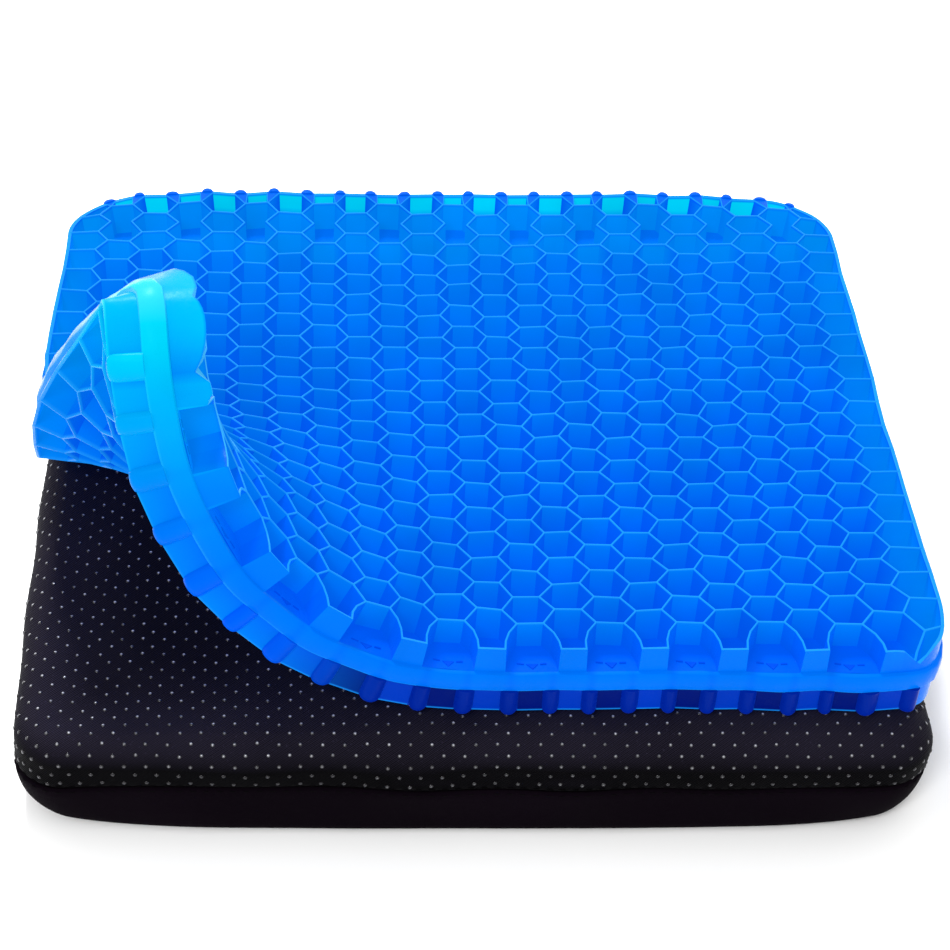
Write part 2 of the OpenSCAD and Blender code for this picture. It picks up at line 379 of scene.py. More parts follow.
def pad_outline(step=3.0):
    """Points and outward directions round the pad, anticlockwise from above."""
    out = []
    for quarter, (sx, sy) in enumerate(CORNERS):
        for i in range(9):
            a = math.radians(90 * quarter + 90 * i / 8)
            away = (math.cos(a), math.sin(a))
            out.append(((sx * CORNER_U + PAD_R * away[0], sy * CORNER_V + PAD_R * away[1]), away))
        start, along, (sx, sy) = out[-1][0], quarter % 2, CORNERS[(quarter + 1) % 4]
        end = (sx * CORNER_U + PAD_R * away[0], sy * CORNER_V + PAD_R * away[1])
        lo, hi = sorted((start[along], end[along]))
        marks = [step * i for i in range(int(lo / step) - 1, int(hi / step) + 2) if lo + 0.8 < step * i < hi - 0.8]
        for q in (marks if end[along] > start[along] else marks[::-1]):
            out.append(((start[0], q) if along else (q, start[1]), away))
    return out


def arc(sx, sy):
    """Three points of a round corner, from the X side to the Y side."""
    return [(sx * (CORNER_U + PAD_R * math.cos(a)), sy * (CORNER_V + PAD_R * math.sin(a)))
            for a in map(math.radians, (36, 45, 54))]


def mirrored(u, half):
    """A cell that is the same left and right of u, from the points of its right half, front to rear."""
    left = [(u - a, v) for a, v in half[::-1]]
    return left[-1:] + [(u + a, v) for a, v in half] + left[:-1]


def hexagon(u, v, k):
    """One cell of column k, with a straight side where the column is the last one."""
    lo, hi = v - HALF_CELL, v + HALF_CELL
    if k == COLUMNS:
        return [(u - FLAT, lo), (u + SIDE, lo), (u + SIDE, hi), (u - FLAT, hi), (u - POINT, v)]
    if k == -COLUMNS:
        return [(u + FLAT, lo), (u + POINT, v), (u + FLAT, hi), (u - SIDE, hi), (u - SIDE, lo)]
    return mirrored(u, [(FLAT, lo), (POINT, v), (FLAT, hi)])


# half widths of the edge cells and their places along v: an open cell's mouth, and a closed cell at the other edge
NECK = 5.4
MOUTH = ((12.3, -HALF_V), (11.8, -174.0), (10.0, -168.0), (FLAT, -CELLS_END))
TAIL = ((FLAT, CELLS_END), (POINT, CELLS_END + HALF_CELL), (NECK, HALF_V))
OPEN, CLOSED, SOLID = "open", "closed", "solid"


def cells():
    """The cells of the upper half, which tile the plan: points anticlockwise, and what kind of cell it is."""
    out = []
    for k in range(-COLUMNS, COLUMNS + 1):
        u = PITCH * k
        if k % 2:
            out += [(hexagon(u, j * PITCH + HALF_CELL, k), CLOSED) for j in range(-ROWS - 1, ROWS + 1)]
            inward = -1 if k > 0 else 1
            mouth, tail = ([(u + inward * a, v) for a, v in half] for half in (MOUTH, TAIL))
            if k == COLUMNS:
                out.append((mouth[:1] + arc(1, -1)[::-1] + [(HALF_U, -CELLS_END)] + mouth[:0:-1], CLOSED))
                out.append((tail[:1] + [(HALF_U, CELLS_END)] + arc(1, 1) + tail[:0:-1], CLOSED))
            elif k == -COLUMNS:
                out.append((arc(-1, -1) + mouth + [(-HALF_U, -CELLS_END)], CLOSED))
                out.append(([(-HALF_U, CELLS_END)] + tail + arc(-1, 1)[::-1], CLOSED))
            else:
                out += [(mirrored(u, MOUTH), OPEN), (mirrored(u, TAIL), CLOSED)]
        else:
            first, last = HALF_CELL - CELLS_END, CELLS_END - HALF_CELL
            between = [(PITCH - a, v) for a, v in MOUTH]
            out.append((mirrored(u, between + [(FLAT, first)]), CLOSED))
            out += [(hexagon(u, j * PITCH, k), CLOSED) for j in range(-ROWS, ROWS)]
            out.append((mirrored(u, [(FLAT, last - PITCH), (POINT, last - HALF_CELL), (FLAT, last),
                                     (POINT, CELLS_END), (FLAT, CELLS_END + HALF_CELL)]), CLOSED))
            out.append((mirrored(u, [(FLAT, CELLS_END + HALF_CELL), (NECK, HALF_V)]), CLOSED))
            out.append(([(u + FLAT, CELLS_END + HALF_CELL), (u + PITCH - NECK, HALF_V), (u + NECK, HALF_V)], SOLID))
            out.append(([(u - FLAT, CELLS_END + HALF_CELL), (u - NECK, HALF_V), (u - PITCH + NECK, HALF_V)], SOLID))
    return [(round_edges([in_corner(*p) for p in poly]), kind) for poly, kind in out]


def round_edges(poly):
    """Adds points on any edge that spans the pad's round corner, so that it follows the arc."""
    out = []
    for p, q in zip(poly, poly[1:] + poly[:1]):
        out.append(p)
        beside = min(abs(p[0]), abs(q[0])) < CORNER_U - 1 or min(abs(p[1]), abs(q[1])) < CORNER_V - 1
        if beside or not on_outline(p, q):
            continue
        a, b = (math.atan2(max(abs(r[1]) - CORNER_V, 0), max(abs(r[0]) - CORNER_U, 0)) for r in (p, q))
        n = int(abs(b - a) / math.radians(7))
        for i in range(1, n + 1):
            t = a + (b - a) * i / (n + 1)
            out.append((math.copysign(CORNER_U + PAD_R * math.cos(t), p[0]),
                        math.copysign(CORNER_V + PAD_R * math.sin(t), p[1])))
    return out


def inside_by(u, v):
    """How far a point lies inside the pad's outline."""
    du, dv = abs(u) - CORNER_U, abs(v) - CORNER_V
    return PAD_R - (math.hypot(du, dv) if du > 0 and dv > 0 else max(du, dv))


def on_outline(p, q):
    """True if the edge p-q lies on the pad's outer edge, allowing for the arc between its ends."""
    ends = max(abs(inside_by(*p)), abs(inside_by(*q)))
    return ends < 0.05 and inside_by((p[0] + q[0]) / 2, (p[1] + q[1]) / 2) < 1.6


def inset(poly, offsets):
    """Corner points moved in, so that edge i lies offsets[i] inside where it was."""
    n, out = len(poly), []
    normals = []
    for i in range(n):
        (x0, y0), (x1, y1) = poly[i], poly[(i + 1) % n]
        d = math.hypot(x1 - x0, y1 - y0) or 1.0
        normals.append((-(y1 - y0) / d, (x1 - x0) / d))
    for i in range(n):
        (ax, ay), a = normals[i - 1], offsets[i - 1]
        (bx, by), b = normals[i], offsets[i]
        det = ax * by - ay * bx
        if abs(det) < 0.15:
            x, y = (ax + bx) * (a + b) / 4, (ay + by) * (a + b) / 4
        else:
            x, y = (a * by - b * ay) / det, (ax * b - bx * a) / det
        out.append((poly[i][0] + x, poly[i][1] + y))
    return out


# A gel vertex carries a tag: 2 in the upper half, -2 in the lower, 0 in the band, plus a part from 0 to 1.
# The part is 1 on a cell's rim, falls to 0 at its floor, and has these values on the small extra shapes.
KNOB, MARK, WEDGE, OUTER = 0.31, 0.27, 0.35, 0.6
# down a cell's wall: the share of its full inset, the height, and the part; then an outer wall's height and part
WALL = ((0.0, 18.0, 1.0), (0.55, 18.0, 1.0), (1.0, 17.55, 1.0), (1.0, 16.2, 0.45), (1.0, 9.0, 0.12))
OUTER_WALL = ((18.0, 1.0), (17.0, OUTER), (11.0, OUTER), (4.6, OUTER))
# the band's profile, outward and up; the knobs' rings, height and size; the marks' corners, across and inward
BAND = ((-0.6, 4.9), (1.0, 5.0), (1.9, 4.6), (2.3, 3.8), (2.45, 0.0), (2.3, -3.8), (1.9, -4.6), (1.0, -5.0),
        (-0.6, -4.9))
KNOB_RINGS = ((4.4, 1.0), (10.0, 1.0), (15.4, 1.0), (17.2, 0.93), (18.4, 0.75), (18.9, 0.45))
MARKS = (((-2.6, 5.2), (0.0, 1.6), (2.6, 5.2)), ((3.6, 5.0), (6.6, 5.3), (6.6, 6.0), (3.6, 5.7)),
         ((-6.6, 5.3), (-3.6, 5.0), (-3.6, 5.7), (-6.6, 6.0)))


def add_wedge(B, half, P, edge):
    """The solid gel between two closed cells at the edge."""
    high, low = ([B.add(a, b, half * z, 2 * half + WEDGE) for a, b in P] for z in (HALF_T, LEDGE))
    B.face(high, half < 0)
    for i in range(len(P)):
        j = (i + 1) % len(P)
        if edge[i]:
            B.face([high[i], low[i], low[j], high[j]], half < 0)


def add_cell(B, half, P, edge, is_open):
    """A cell's rim, its walls, which lean in, its floor, and its outer wall where it meets the pad's edge."""
    n, flip = len(P), half < 0
    full = [(0.0 if is_open else EDGE_WALL) if e else RIM_HALF for e in edge]
    floor = LEDGE if is_open else WEB
    levels = WALL + ((1.0, floor, 0.0),)
    rings = []
    for r, (share, z, part) in enumerate(levels):
        lean = 0.0 if r < 3 else 0.5 * (HALF_T - z) / 17
        Q = inset(P, [f * share + (lean if f > 0 else 0) for f in full]) if share else P
        rings.append([B.add(a, b, half * z, 2 * half + part) for a, b in Q])
    for upper, lower in zip(rings, rings[1:]):
        for i in range(n):
            j = (i + 1) % n
            if not (is_open and edge[i]):
                B.face([upper[i], upper[j], lower[j], lower[i]], flip)
    centre = B.add(sum(p[0] for p in P) / n, sum(p[1] for p in P) / n, half * (floor - (0.0 if is_open else 0.2)),
                   2 * half)
    for i in range(n):
        B.face([rings[-1][i], rings[-1][(i + 1) % n], centre], flip)
    for i in np.flatnonzero(edge):
        j = (i + 1) % n
        if is_open:
            for a, side in ((i, 1), (j, -1)):
                cheek = [B.add(*P[a], half * z, 2 * half + part) for _, z, part in levels[1:]]
                for r in range(1, len(levels) - 1):
                    B.face([cheek[r - 1], rings[r][a], rings[r + 1][a], cheek[r]], side * half > 0)
        else:
            wall = [[B.add(*P[a], half * z, 2 * half + part) for a in (i, j)] for z, part in OUTER_WALL]
            for (a0, b0), (a1, b1) in zip(wall, wall[1:]):
                B.face([a0, a1, b1, b0], flip)


def add_band(B):
    """The band round the middle, with a slight ripple on the pad's left and right sides."""
    ring = pad_outline()
    ripple = [0.35 * abs(d[0]) ** 8 * math.cos(2 * math.pi * p[1] / PITCH) for p, d in ring]
    loops = [[B.add(p[0] + d[0] * (o + r), p[1] + d[1] * (o + r), z, 0.5 if abs(z) < 4.2 else 0.8)
              for (p, d), r in zip(ring, ripple)] for o, z in BAND]
    for upper, lower in zip(loops, loops[1:]):
        for i in range(len(ring)):
            j = (i + 1) % len(ring)
            B.face([upper[i], lower[i], lower[j], upper[j]])


def add_knob(B, half, k):
    """A round knob where columns k and k + 1 meet, on the closed edge of one half."""
    cu, cv = in_corner((k + 0.5) * PITCH, half * HALF_V)
    du, dv = abs(cu) - CORNER_U, abs(cv) - CORNER_V
    ox, oy = (du / PAD_R, dv / PAD_R) if du > 0 else (0.0, 1.0)
    ox, oy = math.copysign(ox, cu), oy * half
    wide, rows = (4.0 if k % 2 else 3.6), []
    for z, size in KNOB_RINGS:
        row = []
        for i in range(15):
            a = math.radians(-20 + 220 * i / 14)
            t, o = wide * size * math.cos(a), max(-1.1, -0.4 + 4.1 * size * math.sin(a))
            row.append(B.add(cu + oy * t + ox * o, cv - ox * t + oy * o, half * z, 2 * half + KNOB))
        rows.append(row)
    top = B.add(cu + ox * 0.5, cv + oy * 0.5, half * 19.05, 2 * half + KNOB)
    for lower, upper in zip(rows, rows[1:]):
        for i in range(15):
            j = (i + 1) % 15
            B.face([lower[i], lower[j], upper[j], upper[i]])
    for i in range(15):
        B.face([rows[-1][i], rows[-1][(i + 1) % 15], top])
    B.face(rows[0][::-1])


def add_marks(B, half, k):
    """A small raised triangle with a short bar on each side, on the ledge of column k's open cell."""
    cu, edge = PITCH * k, -HALF_V * half
    for shape in MARKS:
        low = [B.add(cu + a, edge + half * b, half * 4.9, 2 * half + MARK) for a, b in shape]
        high = [B.add(cu + a * 0.97, edge + half * (b * 0.95 + 0.15), half * 5.6, 2 * half + MARK) for a, b in shape]
        B.face(high, half < 0)
        for i in range(len(shape)):
            j = (i + 1) % len(shape)
            B.face([low[i], low[j], high[j], high[i]], half < 0)


def gel_shape():
    """The pad laid flat: each vertex's u, v and n in millimetres with its tag, and the faces."""
    B, tile = Build(), cells()
    for half in (1, -1):
        for poly, kind in tile:
            P = poly if half > 0 else [(a, -b) for a, b in poly[::-1]]
            edge = [on_outline(p, q) for p, q in zip(P, P[1:] + P[:1])]
            if kind == SOLID:
                add_wedge(B, half, P, edge)
            else:
                add_cell(B, half, P, edge, kind == OPEN)
    add_band(B)
    for half in (1, -1):
        for k in range(-COLUMNS, COLUMNS):
            add_knob(B, half, k)
    for half in (1, -1):
        for k in range(2 - COLUMNS, COLUMNS - 1, 2):
            add_marks(B, half, k)
    return np.array(B.v, float), B.f


def dipped_ends(u, v, n, tag):
    """The closed edges dip near the pad's corners, except at the curled one."""
    dip = np.exp(-((np.abs(u) - 187.5) / 4.2) ** 2) * smooth((np.abs(v) - 158) / 12)
    dip = dip * (v * n < 0) * (np.abs(tag) > 1) * ((u > 0) | (v > 0))
    return np.where(np.abs(n) > LEDGE, np.sign(n) * (LEDGE + (np.abs(n) - LEDGE) * (1 - 0.7 * dip)), n)


def lobed_corner(u, v, n, tag):
    """The curled corner's edge rises in two round lobes, with a valley between them."""
    side_x, side_y = np.abs(u) - CORNER_U, np.abs(v) - CORNER_V
    on_arc = (side_x > 0) & (side_y > 0)
    from_edge = np.where(on_arc, PAD_R - np.hypot(side_x, side_y), HALF_V - np.abs(v))
    along = np.where(on_arc, CORNER_U + PAD_R * np.arctan2(side_x, side_y), np.abs(u))
    first = along < 185
    arch = np.sqrt(np.clip(1 - ((along - np.where(first, 179.0, 199.0)) / np.where(first, 6.0, 14.0)) ** 2, 0, 1))
    lobe = (1 - arch) * smooth(1 - from_edge / 9) * smooth((along - 172) / 3) * smooth((216 - along) / 5)
    lobe = 0.55 * lobe * (u < 0) * (v < 0) * (np.abs(tag) > 1) * (n > LEDGE)
    return np.where(lobe > 0, LEDGE + (n - LEDGE) * (1 - lobe), n)


# ---------------- the gel pad's colours, linear; besides DEEP, most of them are painted light and shade
DEEP = (0.0, 0.125, 1.0)
PALE = (0.0, 0.225, 1.0)
SIDE_BLUE = (0.0, 0.110, 0.95)
LINE = (0.010, 0.310, 1.0)
BORDER = (0.0, 0.36, 1.0)
CYAN = (0.0, 0.78, 1.0)
BRIGHT = (0.08, 0.60, 1.0)
KNOB_TOP = (0.0, 0.13, 0.9)
KNOB_LOW = (0.0, 0.018, 0.34)
BACK_ROW = (0.0, 0.36, 1.0)
APEX_HIGHLIGHT = (0.30, 0.85, 1.0)
MARK_BLUE = (0.0, 0.085, 0.85)
FACE = (0.0, 0.19, 1.0)
SHADE = (0.0, 0.040, 0.55)
NAVY = (0.0, 0.006, 0.19)


def toward(c, target, share):
    """Colours c moved toward a target colour, by a share for each."""
    return c + (target - c) * np.clip(share, 0, 1)[:, None]


def gel_tints(uvn, tag, w, normal, mid_u):
    """Colour at each face corner, with light and shade painted in: gel is painted pale where it is thin or backlit,
    and deep blue inside the cells.

    w is the share of the curl's turn, normal is the flat pad's, and mid_u is the middle of the face."""
    u, v, n = uvn[:, 0], uvn[:, 1], uvn[:, 2]
    upper, lower = tag > 1, tag < -1
    band = ~(upper | lower)
    part = np.where(upper, tag - 2, np.where(lower, tag + 2, 0.0))
    knob, mark, wedge = (np.abs(part - x) < 0.005 for x in (KNOB, MARK, WEDGE))
    rim = np.where(knob | mark | wedge, 0.0, np.clip(part, 0, 1))
    nu, nv, nn = normal[:, 0], normal[:, 1], normal[:, 2]
    # painted light and shade: walls are paler toward their tops where they face the front and darker where they face
    # sideways, rims are pale lines of painted light, and the border and the back are painted lighter
    wall = 1 - smooth((np.abs(nn) - 0.4) / 0.3)
    high = np.clip((np.abs(n) - 2) / 15, 0, 1)
    c = np.tile(DEEP, (len(u), 1))
    c = toward(c, PALE, wall * np.clip(-nv, 0, 1) * (0.25 + 0.75 * high))
    c = toward(c, SIDE_BLUE, wall * np.clip(np.abs(nu) * 1.2 - 0.25, 0, 1) * 0.8)
    c = toward(c, LINE, rim ** 1.5 * (np.abs(nn) > 0.4))
    flat = 1 - smooth(w / 0.3)
    back = smooth((v + 60) / 240) * flat * upper
    edge = smooth((np.abs(u) - 184) / 14)
    c = toward(c, BORDER, 0.45 * back * (1 - rim) * np.clip(0.25 - nv, 0, 1))
    c = toward(c, BORDER, np.where(u < 0, 0.75, 0.62) * edge * (1 - rim))
    # the rear edge, with painted light and shade: bright outer cells between dark knobs, and a lighter row in front
    # of them
    far = upper & (v > 173) & (nv < -0.8) & (rim < 0.5) & (n > 3)
    c = np.where(far[:, None], CYAN, c)
    c = np.where(((knob | wedge) & upper)[:, None], KNOB_TOP, c)
    c = toward(c, SIDE_BLUE, 0.75 * (upper & (v > 166) & (np.abs(nu) > 0.5) & (rim < 0.5) & ~knob))
    deep_row = upper & (v > 134) & (rim < 0.5) & ~knob & ~wedge
    deep_row = deep_row & (((nv < -0.5) & (v < 172.5)) | ((nn > 0.7) & (n < 3)))
    c = toward(c, BACK_ROW, np.where(nn > 0.7, 0.25, 0.55) * deep_row)
    c = np.where(mark[:, None], MARK_BLUE, c)
    # the front edge, with painted light and shade: pale walls above the band, and below it the cells in painted
    # shade, with every other one painted darker
    front_wall = (np.abs(v) > HALF_V - 0.8) & (np.abs(nv) > 0.8) & ~knob
    c = toward(c, FACE, 0.9 * (front_wall & upper & (v < 0)))
    under = lower & (v < -HALF_V + 6)
    odd = np.abs(((mid_u / PITCH) % 2) - 1) < 0.5
    dark = np.where(knob[:, None], KNOB_LOW, np.where(odd[:, None], NAVY, SHADE))
    c = np.where((under & (rim < 0.8))[:, None], dark + (c - dark) * smooth((w - 0.12) / 0.3)[:, None], c)
    # the band, with faint stripes and a pale lower lip of painted light
    c = toward(c, FACE, 1.0 * band)
    stripe = np.abs((u / PITCH - 0.5) % 1 - 0.5) > 0.45
    c = toward(c, DEEP, 0.3 * band * stripe * (np.abs(v) > 150))
    c = toward(c, LINE, band * (n < -3.9) * 0.9)
    # painted light: the curl is painted paler, as if lit from behind, most of all at its tip
    lit = smooth((w - 0.42) / 0.55)
    c = toward(c, CYAN, 0.30 * lit * (1 - rim))
    c = toward(c, CYAN, 0.42 * smooth((w - 0.65) / 0.35) * (band | (np.abs(v) > HALF_V - 3)))
    tip = smooth((w - 0.88) / 0.1) * smooth((-u - 172) / 14)
    c = toward(c, CYAN, 0.8 * tip * (1 - 0.7 * rim) * (np.abs(nn) < 0.7))
    c = toward(c, BRIGHT, 0.7 * lit * rim * (np.abs(nn) > 0.4))
    # painted highlight: a pale patch on the band at the curl's apex
    apex = np.exp(-((u + 204) ** 2 + (v + 160) ** 2) / 40)
    c = toward(c, APEX_HIGHLIGHT, 0.16 * apex * band)
    return np.clip(c, 0, 1)


def paint_gel(me, g, share):
    """Gives each face corner its colour, with painted light and shade, from its place on the flat pad and its face's
    direction there.
    """
    vert, sizes = np.zeros(len(me.loops), np.int32), np.zeros(len(me.polygons), np.int32)
    me.loops.foreach_get("vertex_index", vert)
    me.polygons.foreach_get("loop_total", sizes)
    first = np.concatenate([[0], np.cumsum(sizes)[:-1]])
    p0, p1, p2, p3 = (g[vert[i], :3] for i in (first, first + 1, first + 2, first + sizes - 1))
    normal = np.where((sizes == 3)[:, None], np.cross(p1 - p0, p2 - p0), np.cross(p2 - p0, p3 - p1))
    normal /= np.linalg.norm(normal, axis=1)[:, None] + 1e-9
    mid_u = np.repeat(np.add.reduceat(g[vert, 0], first) / sizes, sizes)
    tints = gel_tints(g[vert, :3], g[vert, 3], share[vert], np.repeat(normal, sizes, axis=0), mid_u)
    rgba = np.concatenate([tints, np.ones((len(tints), 1))], 1)
    colours = me.color_attributes.new("gel_tint", "FLOAT_COLOR", "CORNER")
    colours.data.foreach_set("color", rgba.astype(np.float32).ravel())


flat_pad, faces = gel_shape()
flat_pad[:, 2] = dipped_ends(*flat_pad.T)
flat_pad[:, 2] = lobed_corner(*flat_pad.T)
wobble = [size * waves(flat_pad[:, 0], flat_pad[:, 1], seed, across)
          for size, seed, across in ((0.4, 3, 46), (0.4, 4, 46), (0.3, 5, 60))]
bent, share = place_pad(flat_pad[:, :3] + np.stack(wobble, 1))
gel = new_mesh("gel_honeycomb", bent, faces, [GEL], 38)
paint_gel(gel.data, flat_pad, share)

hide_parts("gel_pad", "gel_bend", "gel_corner")
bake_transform(gel)


# ---------------- the cover
def cover_crown(x, y):
    """How far the filled cover's top stands above or below its edge height."""
    return np.clip(dome(x - PAD_X, y - PAD_Y) - 2.0, -2.0, 6.5)


def rounded(w, d, r, count):
    """Points and outward directions evenly round a rectangle with round corners, anticlockwise from its right."""
    cu, cv = w / 2 - r, d / 2 - r
    lengths = [2 * cv, math.pi * r / 2, 2 * cu, math.pi * r / 2] * 2
    total, out = sum(lengths), []
    for i in range(count):
        s, side = (i + 0.5) / count * total, 0
        while s > lengths[side]:
            s -= lengths[side]
            side += 1
        quarter, on_arc = divmod(side, 2)
        sx, sy = CORNERS[quarter]
        a = math.radians(90 * quarter + on_arc * 90 * s / lengths[side])
        nx, ny, before_arc = math.cos(a), math.sin(a), (1 - on_arc) * (lengths[side] - s)
        out.append((sx * cu + r * nx + ny * before_arc, sy * cv + r * ny - nx * before_arc, nx, ny))
    return np.array(out)


COUNT = 520
RIM = rounded(COVER_W, COVER_D, COVER_R, COUNT)


def rear_open(x, y):
    """1 along the zip, 0 elsewhere."""
    return smooth((174 - np.abs(x)) / 5) * (y > 150)


def side_bulge(x, y, z):
    """The filled sides stand proud between the corners and pull in at the seam."""
    along = np.where(np.abs(y) > 160, 1 - (x / 205) ** 2, 1 - (y / 180) ** 2)
    puff = 1.4 * np.clip(along, 0, 1) * (1 - ((z - 26) / 26) ** 2)
    pull = -1.5 * np.exp(-((z - SEAM_Z) / 1.5) ** 2)
    crease = 0.7 * waves(x + y, z * 2.0, 21, 70) * np.clip(1 - abs(z - 26) / 26, 0, 1)
    return puff + pull + crease


def corner_tuck(z):
    """How far the cover's lower edge is drawn in and lifted near each corner, as filled fabric rounds off there."""
    near = (np.abs(RIM[:, 0]) / (COVER_W / 2)) ** 7 * (np.abs(RIM[:, 1]) / (COVER_D / 2)) ** 7
    bow = 2.0 * np.clip(1 - (RIM[:, 0] / 190) ** 2, 0, 1) * (RIM[:, 1] < -150)
    return (15.0 * near - bow) * np.clip(1 - z / 26, 0, 1) ** 1.6, 5.0 * near ** 2 * np.clip(1 - z / 22, 0, 1) ** 2


def cover_ring(setin, z):
    """Points round the cover at height z, set in from its side."""
    x0, y0, nx, ny = RIM.T
    z = np.broadcast_to(z, x0.shape).astype(float)
    out = side_bulge(x0, y0, float(np.mean(z))) * np.clip(1 - setin / 12, 0, 1) - setin
    z = z + 1.8 * smooth((-y0 - 120) / 60) * np.exp(-((z - SEAM_Z) / 9) ** 2)
    z = z + 0.6 * waves(x0, y0, 23, 120) * np.exp(-((z - SEAM_Z) / 9) ** 2) * (1 - rear_open(x0, y0))
    tuck, lift = corner_tuck(float(np.mean(z)))
    return np.stack([x0 + nx * (out - tuck), y0 + ny * (out - tuck), z + lift], 1)


def lathe(name, rings, centre, mat):
    """A surface through rings of points, closed by a fan to a centre point."""
    n, f = len(rings[0]), []
    verts = np.concatenate(rings + [np.array([centre])])
    last = (len(rings) - 1) * n
    for r in range(0, last, n):
        for i in range(n):
            j = (i + 1) % n
            f.append((r + i, r + j, r + n + j, r + n + i))
    f += [(last + i, last + (i + 1) % n, last + n) for i in range(n)]
    return new_mesh(name, verts, f, [mat], 180)


def shrink(ring, k):
    return ring * np.array([k, k, 1.0])


def shrunk_rings(ring, shares, height):
    """Smaller copies of a ring, which close a surface at heights that a function of x and y gives."""
    out = []
    for k in shares:
        r = shrink(ring, k)
        r[:, 2] = height(r[:, 0], r[:, 1])
        out.append(r)
    return out


def top_height(x, y):
    """Height of the cover's top fabric: crowned, with a low ridge inside its edge and soft creases."""
    x, y = np.asarray(x, float), np.asarray(y, float)
    inside = np.minimum(COVER_W / 2 - np.abs(x), COVER_D / 2 - np.abs(y))
    t = smooth((inside - 4) / 34)
    ridge = 1.1 * np.exp(-((inside - 13) / 6) ** 2)
    fold = 0.5 * waves(x, y, 31, 90) + 0.25 * waves(x, y, 32, 38)
    return COVER_H - 0.6 + cover_crown(x, y) * t + ridge + fold * smooth((inside - 6) / 20)


# how the fabric turns in at the seam: how far in, and how far above or below the seam
TURNED_IN = ((6.0, 5.0), (1.5, 1.0), (0.9, 0.35), (0.3, 0.6))


def cover_top():
    """The dotted fabric, from the seam up over the edge to the middle."""
    gap = ZIP_GAP * rear_open(RIM[:, 0], RIM[:, 1])
    rings = [cover_ring(setin, SEAM_Z + up + gap) for setin, up in TURNED_IN]
    for z in np.linspace(SEAM_Z + 1.6, COVER_H - TOP_EDGE, 7):
        rings.append(cover_ring(0.0, z + gap * (1 - (z - SEAM_Z) / GAP_FADE)))
    for a in range(10, 91, 10):
        turn = math.radians(a)
        base = cover_ring(TOP_EDGE * (1 - math.cos(turn)), COVER_H - TOP_EDGE + TOP_EDGE * math.sin(turn))
        base[:, 2] += smooth((a - 20) / 70) * (top_height(base[:, 0], base[:, 1]) - COVER_H)
        rings.append(base)
    rings += shrunk_rings(rings[-1], np.linspace(1, 0.02, 40)[1:], top_height)
    return lathe("cover_top_fabric", rings, (0, 0, float(top_height(0, 0))), FABRIC_TOP)


def cover_bottom():
    """The plain fabric, from the seam down to the middle of the flat base."""
    gap = ZIP_GAP * rear_open(RIM[:, 0], RIM[:, 1])
    rings = [cover_ring(setin, SEAM_Z - down - gap) for setin, down in TURNED_IN]
    for z in np.linspace(SEAM_Z - 1.6, BOTTOM_EDGE, 7):
        rings.append(cover_ring(0.0, z - gap * max(0.0, (z - 12) / GAP_FADE)))
    for a in range(10, 91, 10):
        turn = math.radians(a)
        rings.append(cover_ring(BOTTOM_EDGE * (1 - math.cos(turn)), BOTTOM_EDGE - BOTTOM_EDGE * math.sin(turn)))
    rings += shrunk_rings(rings[-1], np.linspace(1, 0.05, 12)[1:], lambda x, y: 0.0)
    ob = lathe("cover_bottom_fabric", rings, (0, 0, 0.0), FABRIC_LOW)
    ob.data.flip_normals()
    return ob


top = cover_top()
low = cover_bottom()
for ob, slot, node_name in ((top, "dotted_fabric", "cover_top_panel"), (low, "plain_fabric", "cover_bottom_panel")):
    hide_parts(node_name)
    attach(ob, "cover")


# the core's profile: how far it is set in from the cover's side, and the height
CORE = ((9.0, 3.2), (6.5, 4.6), (5.2, 8.0), (5.2, 16.0), (7.0, 22.0), (7.0, 32.0), (5.2, 38.0), (6.8, 45.5),
        (10.5, 47.6))
UNDER_TOP = 3.6


def core_block():
    """The foam inside the cover, kept a little inside the fabric all round."""
    rings = []
    for setin, z in CORE:
        tuck, lift = corner_tuck(z)
        inner = setin + 1.15 * np.maximum(tuck, 0)
        rings.append(np.stack([RIM[:, 0] - RIM[:, 2] * inner, RIM[:, 1] - RIM[:, 3] * inner, z + 1.2 * lift], 1))
    under = [shrink(rings[0], k) for k in np.linspace(0.04, 1, 8)[:-1]]
    rings += shrunk_rings(rings[-1], np.linspace(1, 0.04, 16)[1:], lambda x, y: top_height(x, y) - UNDER_TOP)
    return lathe("foam_core_block", under + rings, (0, 0, float(top_height(0, 0)) - UNDER_TOP), FOAM)


core = core_block()
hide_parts("foam_core")
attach(core, "cover")


def strip(name, line, outward, z0, z1, thick, mat, rows=6):
    """A woven band standing on edge along a line of points, with a slight ripple and rounded selvedges."""
    verts, f = [], []
    m, across = len(line), rows + 1
    for side in (0.5, -0.5):
        for i, (p, o) in enumerate(zip(line, outward)):
            for j in range(across):
                t = j / rows
                ripple = 0.12 * math.sin(i * 0.9 + 2.2 * t) * (1 - abs(2 * t - 1) ** 4)
                half = side * thick * (1 - 0.7 * abs(2 * t - 1) ** 6)
                d = half + ripple
                verts.append((p[0] + o[0] * d, p[1] + o[1] * d, p[2] + z0 + (z1 - z0) * t))
    back = m * across
    for i in range(m - 1):
        for j in range(rows):
            a, b = i * across + j, (i + 1) * across + j
            f.append((a, b, b + 1, a + 1))
            f.append((back + a, back + a + 1, back + b + 1, back + b))
        for a, b in ((i * across, (i + 1) * across), (i * across + rows, (i + 1) * across + rows)):
            q = (a, back + a, back + b, b)
            f.append(q if a % across == 0 else q[::-1])
    for j in range(rows):
        f.append((j, j + 1, back + j + 1, back + j))
        a = (m - 1) * across + j
        f.append((a, back + a, back + a + 1, a + 1))
    return new_mesh(name, verts, f, [mat], 50)


for name, node_name in (("zip_tape_upper_cloth", "zip_tape_upper"), ("zip_tape_lower_cloth", "zip_tape_lower")):
    (x0, y0, z0), (x1, y1, z1) = (np.array(p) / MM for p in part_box(node_name))
    line = [(x, (y0 + y1) / 2, 0.0) for x in np.linspace(x1, x0, 140)]
    tape = strip(name, line, [(0.0, 1.0)] * 140, z0, z1, y1 - y0, TAPE)
    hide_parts(node_name)
    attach(tape, "cover")

